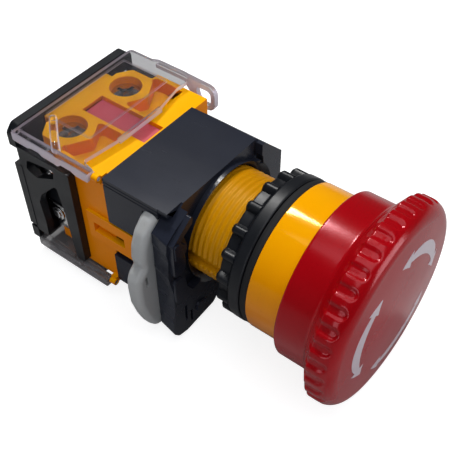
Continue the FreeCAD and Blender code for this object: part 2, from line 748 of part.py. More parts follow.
# moving carrier: a web between the poles, a nose in front, and an arm into each pole
carrier_web = box("CarrierWeb", ("-carrier_half", "carrier_half"), ("carrier_front", "carrier_rear"),
                  ("cavity_bottom + 0.1", "carrier_top"))
carrier_nose = rod("CarrierNose", "nose_radius", ("pusher_rear + fit", "block_front - 0.1"))
carrier_neck = rod("CarrierNeck", "carrier_half - 0.2", ("block_front - 0.5", "carrier_front + 0.5"))
arm_height = ("block_middle - arm_half", "block_middle + arm_half")
nc_arm = box("NcArm", ("carrier_half - 0.5", "pole_x + 2"), ("nc_arm_front",
                                                             "nc_arm_front + carrier_arm"),
             arm_height)
no_arm = box("NoArm", ("-pole_x - 2", "-carrier_half + 0.5"), ("no_arm_front",
                                                               "no_arm_front + carrier_arm"),
             arm_height)
spring_bore = rod("SpringBore", "carrier_spring_bore", ("carrier_spring_front", "carrier_rear + 1"), 0,
                  "block_middle")
carrier_full = join("CarrierFull", carrier_web, carrier_nose, carrier_neck, nc_arm, no_arm)
node(cut("ContactCarrier", carrier_full, spring_bore), "contact_carrier")
coil("carrier_spring", "1.4", "0.25", ("carrier_spring_front", "block_rear + plate_gap"), 8, 0,
     "block_middle")


def bridge(label, centre, front):
    """A contact bridge: a flat strip that faces both fixed contacts of its pole."""
    strip = box(label + "_strip", (f"{centre} - bridge_width / 2", f"{centre} + bridge_width / 2"),
                (front, f"{front} + bridge_thickness"),
                ("block_middle - bridge_half", "block_middle + bridge_half"))
    return node(strip, label)


bridge("nc_bridge", "pole_x", "nc_bridge_front")
coil("nc_spring", "1.3", "0.2", ("nc_bridge_front + bridge_thickness", "nc_arm_front"), 6, "pole_x",
     "block_middle")
bridge("no_bridge", "-pole_x", "no_bridge_front")
coil("no_spring", "1.3", "0.2", ("no_arm_front + carrier_arm", "no_bridge_front"), 6, "-pole_x",
     "block_middle")


def terminal(label, centre, leg_front, upper):
    """A fixed contact: a strip under the terminal screw with a leg that faces the bridge."""
    strip = box(label + "_strip", (f"{centre} - strip_half", f"{centre} + strip_half"),
                ("strip_front", "strip_rear"), mirrored("cavity_top - strip_thickness", "cavity_top",
                                                        upper))
    leg = box(label + "_leg", (f"{centre} - leg_half", f"{centre} + leg_half"),
              (leg_front, f"{leg_front} + leg_thickness"), mirrored("leg_foot", "cavity_top - 0.5",
                                                                    upper))
    hole = rod(label + "_hole", "screw_radius + fit", mirrored("cavity_top - 3", "cavity_top + 1", upper),
               centre, "well_y", axis="z")
    return node(cut(label + "_cut", join(label + "_full", strip, leg), hole), label)


terminal("nc_terminal_top", "pole_x", "nc_leg_front", True)
terminal("nc_terminal_bottom", "pole_x", "nc_leg_front", False)
terminal("no_terminal_top", "-pole_x", "no_leg_front", True)
terminal("no_terminal_bottom", "-pole_x", "no_leg_front", False)

screws = []
washers = []
for side, sign in SIDES:
    for level, upper in LEVELS:
        tag = side + level
        centre = f"{sign} * pole_x"
        seat = "cavity_top + washer_thickness"
        top = f"{seat} + screw_head_height"
        head = rod("ScrewHead" + tag, "screw_head_radius", mirrored(seat, top, upper), centre, "well_y",
                   axis="z")
        shank = rod("ScrewShank" + tag, "screw_radius", mirrored(f"{seat} - screw_length + 0.2",
                                                                 f"{seat} + 0.2", upper),
                    centre, "well_y", axis="z")
        cross = []
        for way, wide, deep in (("A", "screw_slot_length", "screw_slot_width"),
                                ("B", "screw_slot_width", "screw_slot_length")):
            cross.append(box(f"ScrewSlot{tag}{way}", (f"{centre} - {wide} / 2", f"{centre} + {wide} / 2"),
                             (f"well_y - {deep} / 2", f"well_y + {deep} / 2"),
                             mirrored(f"{top} - screw_slot_depth", f"{top} + 1", upper)))
        screws.append(cut("Screw" + tag, join("ScrewFull" + tag, head, shank), *cross))
        plate = box("Washer" + tag, (f"{centre} - washer_half", f"{centre} + washer_half"),
                    ("well_y - washer_half", "well_y + washer_half"), mirrored("cavity_top", seat, upper))
        hole = rod("WasherHole" + tag, "screw_radius + fit", mirrored("cavity_top - 1", f"{seat} + 1",
                                                                      upper),
                   centre, "well_y", axis="z")
        washers.append(cut("WasherCut" + tag, plate, hole))
node(join("TerminalScrews", *screws), "terminal_screws")
node(join("ClampWashers", *washers), "clamp_washers")


def cover(label, upper):
    """A clear terminal cover that hinges along its left edge and is lifted by the ear on its right."""
    axis_z = LUG_HEIGHTS["Top" if upper else "Bottom"]
    outer = ("cover_half - cover_thickness", "cover_half")
    sheet_top = "cover_axis_z + cover_lift + cover_thickness"
    parts = [
        box(label + "_sheet", ("cover_axis_x", "cover_half"), ("cover_front", "cover_rear"),
            mirrored("cover_axis_z + cover_lift", sheet_top, upper)),
        box(label + "_edge", ("-cover_half", "cover_axis_x + 0.4"), ("edge_front", "cover_rear"),
            mirrored("cover_axis_z + rail_radius", sheet_top, upper)),
        rod(label + "_rail", "rail_radius", ("rail_front", "cover_rear"), "cover_axis_x", axis_z),
        rod(label + "_nubs", "nub_radius", ("lug_front + 0.1", "cover_rear + 1.3"), "cover_axis_x",
            axis_z),
        box(label + "_side", outer, ("cover_front", "cover_rear"),
            mirrored("cover_axis_z - 0.6", f"{sheet_top} - 0.1", upper)),
        box(label + "_ear", outer, ("ear_front", "cover_front + 2"),
            mirrored("cover_axis_z - ear_drop", sheet_top, upper)),
        box(label + "_lip", ("-lip_half", "lip_half"), ("cover_front", "cover_front + cover_thickness"),
            mirrored("cover_axis_z - 0.5", f"{sheet_top} - 0.1", upper)),
    ]
    eye = box(label + "_eye", ("cover_half - 3", "cover_half + 1"), ("eye_front", "cover_front - 1"),
              mirrored("cover_axis_z - eye_low", "cover_axis_z - eye_high", upper))
    return node(cut(label + "_cut", join(label + "_full", *parts), eye), label)


cover("top_cover", True)
cover("bottom_cover", False)

# ------------------------------------------------------------ check and write

doc.recompute()
for item in doc.Objects:
    if "Invalid" in item.State or "Error" in item.State:
        raise RuntimeError(f"{item.Name} ({item.Label}) did not compute: {item.State}")
os.makedirs("parts", exist_ok=True)
for item in nodes:
    if item.Shape.isNull() or not item.Shape.isValid() or not item.Shape.Solids:
        raise RuntimeError(f"{item.Label} has no valid solid")
    item.Shape.exportStep(f"parts/{item.Label}.step")
    limits = item.Shape.BoundBox
    print(f"{item.Label:22s} solids {len(item.Shape.Solids)}  volume {item.Shape.Volume:9.2f}  "
          f"x {limits.XMin:6.1f} {limits.XMax:6.1f}  y {limits.YMin:6.1f} {limits.YMax:6.1f}  "
          f"z {limits.ZMin:6.1f} {limits.ZMax:6.1f}")
print(len(nodes), "nodes written")
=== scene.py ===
"""Looks of the emergency stop button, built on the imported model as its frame.

The button's axis is Y, the face of the panel is y = 0, and +Z is up.
"""

import math

import bmesh
import bpy
from mathutils import Matrix, Vector


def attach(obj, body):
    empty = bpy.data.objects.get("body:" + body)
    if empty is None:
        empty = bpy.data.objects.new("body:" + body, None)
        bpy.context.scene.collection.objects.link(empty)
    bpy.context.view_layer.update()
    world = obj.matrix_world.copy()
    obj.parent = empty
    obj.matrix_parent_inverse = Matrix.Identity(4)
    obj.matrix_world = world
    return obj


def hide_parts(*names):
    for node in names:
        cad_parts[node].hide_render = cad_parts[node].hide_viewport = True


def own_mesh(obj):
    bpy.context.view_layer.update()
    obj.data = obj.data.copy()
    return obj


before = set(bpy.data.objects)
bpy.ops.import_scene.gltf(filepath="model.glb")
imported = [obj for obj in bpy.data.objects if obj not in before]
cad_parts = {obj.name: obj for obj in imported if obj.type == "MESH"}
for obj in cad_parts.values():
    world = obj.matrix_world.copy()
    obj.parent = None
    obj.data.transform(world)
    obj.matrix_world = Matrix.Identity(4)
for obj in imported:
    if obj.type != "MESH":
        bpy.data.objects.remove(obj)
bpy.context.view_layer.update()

MM = 0.001
scene = bpy.context.scene

# ---------------------------------------------------------------- materials

# How many features a metre each noise has
PIGMENT, SPECKS, SMEARS, SINK_WAVES, GRAIN = 55, 1900, 140, 60, 2600
PLATING, TOOL_MARKS = 300, 1600
HAZE, WIPE_MARKS, RIPPLES = 80, 160, 75

# The y, in metres, over which a look changes at the panel's face, and the painted shade behind it: the
# share of the lit colour kept there
PANEL_EDGE = (-0.0004, 0.0004)
BEHIND_PAINTED_SHADE = 0.62

# The two tones of a clear sheet that is seen through
SHEET_TONES = ((0.98, 0.98, 0.985), (0.93, 0.93, 0.95))


def tree_of(name):
    """A new material, as (material, its node tree, its Principled node)."""
    material = bpy.data.materials.new(name)
    material.use_nodes = True
    return material, material.node_tree, material.node_tree.nodes["Principled BSDF"]


def noise_on(tree, place, scale, detail=3.0, stretch=(1, 1, 1)):
    """A noise texture on the object's own coordinates, where scale is features per metre."""
    mapping = tree.nodes.new("ShaderNodeMapping")
    mapping.inputs["Scale"].default_value = stretch
    tree.links.new(place.outputs["Object"], mapping.inputs["Vector"])
    texture = tree.nodes.new("ShaderNodeTexNoise")
    texture.inputs["Scale"].default_value = scale
    texture.inputs["Detail"].default_value = detail
    tree.links.new(mapping.outputs["Vector"], texture.inputs["Vector"])
    return texture.outputs["Fac"]


def ranged(tree, value, low, high, start=0.3, end=0.7):
    """value, which runs from start to end, spread from low to high."""
    spread = tree.nodes.new("ShaderNodeMapRange")
    for socket, number in (("From Min", start), ("From Max", end), ("To Min", low), ("To Max", high)):
        spread.inputs[socket].default_value = number
    tree.links.new(value, spread.inputs["Value"])
    return spread.outputs["Result"]


def blended(tree, factor, first, second):
    """Two colours mixed by a factor."""
    mix = tree.nodes.new("ShaderNodeMix")
    mix.data_type = "RGBA"
    tree.links.new(factor, mix.inputs["Factor"])
    for socket, colour in ((mix.inputs[6], first), (mix.inputs[7], second)):
        if isinstance(colour, tuple):
            socket.default_value = (*colour, 1)
        else:
            tree.links.new(colour, socket)
    return mix.outputs[2]


def bumped(tree, shader, heights):
    """Heights as (value, depth in millimetres), each laid over the one before."""
    normal = None
    for value, depth in heights:
        bump = tree.nodes.new("ShaderNodeBump")
        bump.inputs["Strength"].default_value = 1
        bump.inputs["Distance"].default_value = depth * MM
        tree.links.new(value, bump.inputs["Height"])
        if normal:
            tree.links.new(normal, bump.inputs["Normal"])
        normal = bump.outputs["Normal"]
    tree.links.new(normal, shader.inputs["Normal"])


def part_of(tree, output, axis):
    """One component of a texture coordinate."""
    parts = tree.nodes.new("ShaderNodeSeparateXYZ")
    tree.links.new(output, parts.inputs["Vector"])
    return parts.outputs[axis]


def moulded(name, colour, shade, rough=(0.2, 0.3), grain=0.004, waves=0.02, soft=0.0, tint=None,
            gloss=0.5, sheen=(1, 1, 1), lit_top=None, satin=0.0):
    """Injection-moulded plastic: uneven pigment, uneven gloss, a fine grain and slight sink waves.

    soft is the subsurface weight, and tint its reach by colour. The colour given as top is painted
    light: faces that look up get it, as if lit from above.
    satin is the roughness added behind the panel, at y > 0, where a painted shade also darkens the
    tone.
    """
    material, tree, shader = tree_of(name)
    place = tree.nodes.new("ShaderNodeTexCoord")
    cloud = ranged(tree, noise_on(tree, place, PIGMENT, 3), 0, 1)
    tone = blended(tree, cloud, colour, shade)
    specks = ranged(tree, noise_on(tree, place, SPECKS, 2), 0, 1, 0.62, 0.74)
    tone = blended(tree, specks, tone, tuple(0.95 * c for c in shade))
    # Painted light: faces that look up take the lighter, lit colour
    if lit_top:
        lit_from_above = ranged(tree, part_of(tree, place.outputs["Normal"], "Z"), 0, 1, 0.0, 0.95)
        tone = blended(tree, lit_from_above, tone, lit_top)
    smears = ranged(tree, noise_on(tree, place, SMEARS, 5, (1, 0.35, 1)), *rough)
    if satin:
        along = part_of(tree, place.outputs["Object"], "Y")
        behind = ranged(tree, along, 0, 1, *PANEL_EDGE)
        # Painted shade: behind the panel the tone turns to a darker share of the lit colour
        tone = blended(tree, behind, tone, tuple(BEHIND_PAINTED_SHADE * c for c in lit_top))
        rougher = tree.nodes.new("ShaderNodeMath")
        tree.links.new(smears, rougher.inputs[0])
        tree.links.new(ranged(tree, along, 0, satin, *PANEL_EDGE), rougher.inputs[1])
        smears = rougher.outputs[0]
    tree.links.new(tone, shader.inputs["Base Color"])
    tree.links.new(smears, shader.inputs["Roughness"])
    sunk = noise_on(tree, place, SINK_WAVES, 1)
    bumped(tree, shader, [(sunk, waves), (noise_on(tree, place, GRAIN, 2), grain)])
    shader.inputs["IOR"].default_value = 1.5
    shader.inputs["Specular IOR Level"].default_value = gloss
    shader.inputs["Specular Tint"].default_value = (*sheen, 1)
    if soft:
        shader.inputs["Subsurface Weight"].default_value = soft
        shader.inputs["Subsurface Radius"].default_value = tint
        shader.inputs["Subsurface Scale"].default_value = 1.2 * MM
    return material


def metal(name, colour, shade, rough=(0.2, 0.4), grain=0.003, stretch=(1, 1, 1)):
    """Plated or bare metal with clouded plating and fine tool marks."""
    material, tree, shader = tree_of(name)
    place = tree.nodes.new("ShaderNodeTexCoord")
    cloud = ranged(tree, noise_on(tree, place, PLATING, 4), 0, 1)
    tree.links.new(blended(tree, cloud, colour, shade), shader.inputs["Base Color"])
    marks = noise_on(tree, place, TOOL_MARKS, 4, stretch)
    tree.links.new(ranged(tree, marks, *rough), shader.inputs["Roughness"])
    bumped(tree, shader, [(marks, grain)])
    shader.inputs["Metallic"].default_value = 1
    return material


def clear(name, walls, through):
    """Clear polycarbonate: level sheets are seen through, while upright walls and edges look milky.

    walls is the two tones of the milky parts, and through is how much of a level sheet is clear.
    """
    material, tree, milky = tree_of(name)
    place = tree.nodes.new("ShaderNodeTexCoord")
    sheet = tree.nodes.new("ShaderNodeBsdfPrincipled")
    for shader, tones, rough in ((milky, walls, (0.02, 0.09)), (sheet, SHEET_TONES, (0.01, 0.06))):
        cloud = ranged(tree, noise_on(tree, place, HAZE, 2), 0, 1)
        tree.links.new(blended(tree, cloud, *tones), shader.inputs["Base Color"])
        smears = ranged(tree, noise_on(tree, place, WIPE_MARKS, 4), *rough)
        tree.links.new(smears, shader.inputs["Roughness"])
        bumped(tree, shader, [(noise_on(tree, place, RIPPLES, 2), 0.03)])
    milky.inputs["IOR"].default_value = 1.45
    sheet.inputs["Transmission Weight"].default_value = 1
    sheet.inputs["IOR"].default_value = 1.12
    sheet.inputs["Coat Weight"].default_value = 0.7
    sheet.inputs["Coat Roughness"].default_value = 0.04
    flat = tree.nodes.new("ShaderNodeMath")
    flat.operation = "ABSOLUTE"
    tree.links.new(part_of(tree, place.outputs["Normal"], "Z"), flat.inputs[0])
    both = tree.nodes.new("ShaderNodeMixShader")
    tree.links.new(ranged(tree, flat.outputs[0], 0.34, through, 0.55, 0.9), both.inputs[0])
    tree.links.new(milky.outputs[0], both.inputs[1])
    tree.links.new(sheet.outputs[0], both.inputs[2])
    tree.links.new(both.outputs[0], tree.nodes["Material Output"].inputs["Surface"])
    return material


RED_HEAD = moulded(
    "red_plastic_head", (0.34, 0.0006, 0.004), (0.29, 0.0006, 0.003), (0.14, 0.24),
    grain=0.006, soft=0.04, tint=(1, 0.1, 0.1), sheen=(1, 0.45, 0.5))
WHITE_INK = moulded("white_inlay", (0.62, 0.52, 0.57), (0.54, 0.46, 0.51), (0.12, 0.22))
# Painted light on both yellows: a lit colour on faces that look up and a deeper tone on the sides; the
# glossy one also gets painted shade behind the panel
YELLOW = moulded(
    "yellow_plastic", (0.76, 0.235, 0.0), (0.71, 0.21, 0.0), (0.05, 0.12), waves=0.05, soft=0.05,
    tint=(1, 0.5, 0.02), gloss=0.4, sheen=(1, 0.85, 0.3), lit_top=(0.86, 0.36, 0.0), satin=0.3)
YELLOW_SATIN = moulded(
    "yellow_plastic_satin", (0.90, 0.26, 0.0), (0.84, 0.235, 0.0), (0.34, 0.48), grain=0.008,
    soft=0.05, tint=(1, 0.5, 0.02), gloss=0.2, sheen=(1, 0.75, 0.1), lit_top=(0.90, 0.40, 0.0))
BLACK = moulded(
    "black_plastic", (0.006, 0.007, 0.010), (0.004, 0.005, 0.007), (0.32, 0.48),
    grain=0.010, gloss=0.28)
BLACK_GLOSS = moulded(
    "black_plastic_gloss", (0.016, 0.019, 0.031), (0.013, 0.015, 0.024), (0.24, 0.28),
    grain=0.006, waves=0.01, gloss=0.26)
RUBBER = moulded(
    "black_rubber", (0.006, 0.006, 0.007), (0.009, 0.009, 0.010), (0.62, 0.8),
    grain=0.012, gloss=0.3)
NYLON = moulded(
    "natural_nylon", (0.42, 0.43, 0.435), (0.37, 0.375, 0.375), (0.30, 0.44),
    grain=0.006, waves=0.04, soft=0.4, tint=(1.0, 0.9, 0.8))
PINK = moulded(
    "pink_plastic", (0.56, 0.06, 0.09), (0.48, 0.045, 0.07), (0.35, 0.5),
    soft=0.1, tint=(1, 0.2, 0.2))
STEEL = metal(
    "spring_steel", (0.58, 0.58, 0.60), (0.48, 0.48, 0.50), (0.18, 0.32), stretch=(1, 6, 1))
ZINC = metal(
    "zinc_plated_steel", (0.74, 0.74, 0.73), (0.66, 0.67, 0.68), (0.07, 0.16), grain=0.0006)
BRASS = metal("contact_brass", (0.72, 0.50, 0.20), (0.60, 0.40, 0.16), (0.22, 0.4))
CLEAR = clear("clear_plastic", ((0.80, 0.72, 0.82), (0.66, 0.59, 0.68)), 0.985)
# Painted shade: the lower cover is the same clear plastic, with darker walls and a less clear sheet, as
# if in shade
SHADED_CLEAR = clear("clear_plastic_painted_shade", ((0.24, 0.225, 0.235), (0.18, 0.17, 0.18)), 0.72)


# ------------------------------------------------------------- mesh helpers


def make(name, points, faces):
    """An object from points in millimetres, with its normals outward."""
    mesh = bpy.data.meshes.new(name)
    mesh.from_pydata([Vector(p) * MM for p in points], [], faces)
    shape = bmesh.new()
    shape.from_mesh(mesh)
    bmesh.ops.remove_doubles(shape, verts=shape.verts, dist=1e-8)
    bmesh.ops.recalc_face_normals(shape, faces=shape.faces)
    shape.to_mesh(mesh)
    shape.free()
    piece = bpy.data.objects.new(name, mesh)
    scene.collection.objects.link(piece)
    return piece


def bake(piece):
    """Replaces a piece's mesh by the one that its modifiers give."""
    graph = bpy.context.evaluated_depsgraph_get()
    mesh = bpy.data.meshes.new_from_object(piece.evaluated_get(graph))
    piece.modifiers.clear()
    piece.data = mesh
    return piece


def combine(piece, others, how="DIFFERENCE"):
    """Cuts the others out of a piece, or unites them with it, and removes them."""
    for other in others:
        step = piece.modifiers.new(how, "BOOLEAN")
        step.operation = how
        step.solver = "EXACT"
        step.object = other
    bpy.context.view_layer.update()
    bake(piece)
    for other in others:
        bpy.data.objects.remove(other)
    return piece


def merge_flat(shape):
    """Joins doubled points in a bmesh, and merges neighbouring faces that are as good as flat."""
    bmesh.ops.remove_doubles(shape, verts=shape.verts, dist=0.0002 * MM)
    bmesh.ops.dissolve_limit(
        shape, angle_limit=math.radians(0.6), verts=shape.verts, edges=shape.edges)


def soften(piece, width, segments=3):
    """Rounds the sharp edges of a piece by a width in millimetres."""
    shape = bmesh.new()
    shape.from_mesh(piece.data)
    merge_flat(shape)
    shape.to_mesh(piece.data)
    shape.free()
    edge = piece.modifiers.new("edges", "BEVEL")
    edge.width = width * MM
    edge.segments = segments
    edge.limit_method = "ANGLE"
    edge.angle_limit = math.radians(32)
    edge.miter_outer = "MITER_ARC"
    return bake(piece)


def finish(piece, material, body, slot, *nodes, sharp=40):
    """Shades a piece, with edges over sharp degrees left hard, and hands it to the frame."""
    piece.data.materials.clear()
    piece.data.materials.append(material)
    piece.data.shade_smooth()
    piece.data.set_sharp_from_angle(angle=math.radians(sharp))
    normals = piece.modifiers.new("normals", "WEIGHTED_NORMAL")
    normals.keep_sharp = True
    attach(piece, body)
    if nodes:
        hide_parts(*nodes)
    return piece


# The share of a run that an arc may take, just under half so that two arcs never meet
ARC_SHARE = 0.499


def rounded(corners, steps=6):
    """A closed outline in which each corner (a, b, radius) becomes an arc of its radius."""
    points = []
    for index, (a, b, radius) in enumerate(corners):
        here = Vector((a, b))
        if not radius:
            points.append((a, b))
            continue
        before = Vector(corners[index - 1][:2]) - here
        after = Vector(corners[(index + 1) % len(corners)][:2]) - here
        half = before.angle(after) / 2
        longest = ARC_SHARE * min(before.length, after.length)
        reach = min(radius / math.tan(half), longest)
        before.normalize()
        after.normalize()
        centre = here + (before + after).normalized() * reach / math.cos(half)
        start = here + before * reach - centre
        end = here + after * reach - centre
        turn = math.atan2(start.x * end.y - start.y * end.x, start.dot(end))
        for step in range(steps + 1):
            angle = turn * step / steps
            points.append((centre.x + start.x * math.cos(angle) - start.y * math.sin(angle),
                           centre.y + start.x * math.sin(angle) + start.y * math.cos(angle)))
    return points


def divided(start, end, step):
    """Points from start up to, but without, end, evenly spaced and no more than step apart."""
    (a, b), (c, d) = start, end
    count = max(1, math.ceil(math.hypot(c - a, d - b) / step))
    return [(a + (c - a) * k / count, b + (d - b) * k / count) for k in range(count)]


def finer(points, step):
    """The closed outline with its long runs divided so that no run is over step."""
    result = []
    for index, point in enumerate(points):
        result += divided(point, points[(index + 1) % len(points)], step)
    return result


def circle(a, b, radius, count, start=0):
    """The corners of a regular polygon about (a, b), the first at start degrees."""
    angles = [math.radians(start + 360 * k / count) for k in range(count)]
    return [(a + radius * math.cos(angle), b + radius * math.sin(angle)) for angle in angles]


def lathe(name, profile, segments, shift=None):
    """A closed profile of (radius, y) turned about Y.

    shift(angle, radius, y), where there is one, gives each point a new (radius, y).
    """
    points = []
    for turn in range(segments):
        angle = 2 * math.pi * turn / segments
        for radius, y in profile:
            r, v = shift(angle, radius, y) if shift else (radius, y)
            points.append((r * math.cos(angle), v, r * math.sin(angle)))
    count = len(profile)
    faces = []
    for turn in range(segments):
        here, there = turn * count, (turn + 1) % segments * count
        for k in range(count):
            after = (k + 1) % count
            if profile[k][0] == 0 and profile[after][0] == 0:
                continue
            faces.append((here + k, here + after, there + after, there + k))
    return make(name, points, faces)


def prism(name, outline, low, high, axis="y"):
    """An outline stretched between two heights: (x, z) along y, (y, z) along x, or (x, y) along z."""
    order = {"x": (2, 0, 1), "y": (0, 2, 1), "z": (0, 1, 2)}[axis]
    count = len(outline)
    points = []
    for height in (low, high):
        points += [tuple((a, b, height)[k] for k in order) for a, b in outline]
    faces = [tuple(range(count)), tuple(range(count, 2 * count))]
    faces += [(k, (k + 1) % count, (k + 1) % count + count, k + count) for k in range(count)]
    return make(name, points, faces)


def pillow(name, outline, low, high, radius, steps=6):
    """An (x, z) outline stretched along y, and moved inward near both ends to round the rims."""
    count = len(outline)
    area = 0
    for k, (a, b) in enumerate(outline):
        area += outline[k - 1][0] * b - a * outline[k - 1][1]
    inward = []
    for k in range(count):
        before, after = Vector(outline[k - 1]), Vector(outline[(k + 1) % count])
        along = (after - before).normalized() * math.copysign(1, area)
        inward.append(Vector((-along.y, along.x)))
    angles = [math.radians(90 * k / steps) for k in range(steps + 1)]
    rim = [(radius * (1 - math.sin(a)), radius * (1 - math.cos(a))) for a in angles]
    levels = [(low + depth, inset) for depth, inset in reversed(rim)]
    levels += [(high - depth, inset) for depth, inset in rim]
    points = []
    for y, inset in levels:
        points += [(a + inset * n.x, y, b + inset * n.y) for (a, b), n in zip(outline, inward)]
    faces = [tuple(range(count)), tuple((len(levels) - 1) * count + k for k in range(count))]
    for level in range(len(levels) - 1):
        for k in range(count):
            here, after = level * count + k, level * count + (k + 1) % count
            faces.append((here, after, after + count, here + count))
    return make(name, points, faces)


def block(name, x, y, z):
    """A plain cutter or blank between the limits in x, y and z."""
    return prism(name, [(x[0], z[0]), (x[1], z[0]), (x[1], z[1]), (x[0], z[1])], *y)


def tube(name, points, radius, sides=12):
    """A round bar along points in millimetres, closed at both ends."""
    path = [Vector(p) for p in points]
    rings = []
    side = None
    for index, point in enumerate(path):
        ahead = (path[min(index + 1, len(path) - 1)] - path[max(index - 1, 0)]).normalized()
        if side is None:
            side = ahead.orthogonal().normalized()
        side = (side - ahead * side.dot(ahead)).normalized()
        across = ahead.cross(side)
        angles = [2 * math.pi * k / sides for k in range(sides)]
        rings.append([tuple(point + radius * (side * math.cos(a) + across * math.sin(a)))
                      for a in angles])
    faces = [tuple(range(sides)), tuple((len(rings) - 1) * sides + k for k in range(sides))]
    for ring in range(len(rings) - 1):
        here, there = ring * sides, (ring + 1) * sides
        for k in range(sides):
            after = (k + 1) % sides
            faces.append((here + k, here + after, there + after, there + k))
    return make(name, [p for ring in rings for p in ring], faces)


def coil(name, radius, wire, low, high, turns, x=0.0, z=0.0):
    """A compression spring along Y, of turns between closed ends. wire is the wire's radius."""
    closed = 0.9
    steps_a_turn = 28
    whole = turns + 2 * closed
    rise = 2.1 * wire * closed
    points = []
    steps = round(whole * steps_a_turn)
    low, high = low + wire, high - wire
    for step in range(steps + 1):
        turn = whole * step / steps
        if turn < closed:
            y = low + rise * turn / closed
        elif turn > turns + closed:
            y = high - rise * (whole - turn) / closed
        else:
            y = low + rise + (high - low - 2 * rise) * (turn - closed) / turns
        angle = 2 * math.pi * turn
        points.append((x + radius * math.cos(angle), y, z + radius * math.sin(angle)))
    return tube(name, points, wire, 10)


def from_cad(name, node):
    """A new mesh with the shape of a CAD node, its flat faces whole again."""
    shape = bmesh.new()
    shape.from_mesh(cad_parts[node].data)
    merge_flat(shape)
    shape.verts.index_update()
    points = [v.co / MM for v in shape.verts]
    faces = [tuple(v.index for v in face.verts) for face in shape.faces]
    shape.free()
    return make(name, points, faces)


def smooth_step(value):
    """0 below 0, 1 above 1, and an even curve between them."""
    value = min(1, max(0, value))
    return value * value * (3 - 2 * value)


# ------------------------------------------------------------ mushroom head

# A flute's sides slope over FLUTE_SLOPE, its round front end is about FLUTE_FRONT, and it fades out
# behind FLUTE_REAR. From TURN_START forward it is pressed in at a lean, as the rim turns to the face.
HEAD_RADIUS = 19.98
FACE_Y = -22.98
DOME_RADIUS = 178.5
FLUTES = 36
FLUTE_HALF = 1.22
FLUTE_DEPTH = 0.42
FLUTE_SLOPE = 0.7
FLUTE_FRONT = -19.75
FLUTE_REAR, FLUTE_REAR_FADE = -17.2, 0.9
FLUTED_Y = (-21.9, -16.2)
FLUTED_FROM_RADIUS = 17
TURN_START, TURN_LENGTH, TURN_ANGLE = -19.9, 2.2, 0.7
RIM_STEP, WALL_STEP = 0.18, 1.6
STEPS_A_FLUTE = 13
FACE_RADII = (0, 3, 6, 9, 12, 14, 16)
RIM_CENTRE, RIM_ROUND = (16.98, -19.17), 3
HEAD_WALLS = [
    (HEAD_RADIUS, -17.4, 0.45), (16.4, -15.0, 0.8), (16.4, -8.62, 0.45), (15.15, -8.62, 0.25),
    (15.15, -18.1, 0.5), (7.2, -18.1, 0.5), (7.2, -12.02, 0.3), (3.4, -12.02, 0.2), (3.4, -20.4, 0),
    (0, -20.4, 0)]


def head_shift(angle, radius, y):
    """Presses a thumbnail flute into the rim, open to the rear and round at its front end."""
    if radius < FLUTED_FROM_RADIUS or not FLUTED_Y[0] <= y <= FLUTED_Y[1]:
        return radius, y
    pitch = 2 * math.pi / FLUTES
    across = abs((angle + pitch / 2) % pitch - pitch / 2) * HEAD_RADIUS
    edge = FLUTE_HALF - (across if y > FLUTE_FRONT else math.hypot(across, y - FLUTE_FRONT))
    depth = FLUTE_DEPTH * smooth_step(edge / FLUTE_SLOPE)
    depth *= 1 - smooth_step((y - FLUTE_REAR) / FLUTE_REAR_FADE)
    lean = smooth_step((TURN_START - y) / TURN_LENGTH) * TURN_ANGLE
    return radius - depth * math.cos(lean), y + depth * math.sin(lean)


def dome(radius):
    """The y of the domed face at a radius."""
    return FACE_Y + radius * radius / (2 * DOME_RADIUS)


def head_profile():
    """The head's section, closely divided over the fluted part of its rim."""
    edge = []
    for k in range(16):
        angle = math.radians(6 * k)
        edge.append((RIM_CENTRE[0] + RIM_ROUND * math.sin(angle),
                     RIM_CENTRE[1] - RIM_ROUND * math.cos(angle), 0))
    rim = rounded([*edge, *HEAD_WALLS], 10)
    fine = []
    for here, after in zip(rim, rim[1:]):
        fluted = here[1] < -14 and here[0] > 16
        fine += divided(here, after, RIM_STEP if fluted else WALL_STEP)
    return [(radius, dome(radius)) for radius in FACE_RADII] + fine + [rim[-1]]


head = lathe("mushroom_head", head_profile(), FLUTES * STEPS_A_FLUTE, head_shift)
finish(head, RED_HEAD, "head", "red_plastic", "mushroom_cap", sharp=60)

ARROW_MIDDLES = (50, 170, 290)
ARROW_RADIUS = 12.2
ARROW_NECK, ARROW_TIP = 33, 46
BAND_STEPS, BARB_STEPS = 32, 8
BAND_HALF, BAND_BOW = 0.62, 0.35
BARB_HALF, BARB_LAG = 1.62, 2.2
TIP_HALF = 0.03
INLAY_LIFT, INLAY_DEPTH = 0.04, 0.3


def on_face(angle, radius, lift):
    """The point of the domed face at a radius and an angle in degrees, raised by lift."""
    turned = math.radians(angle)
    return radius * math.cos(turned), dome(radius) - lift, radius * math.sin(turned)


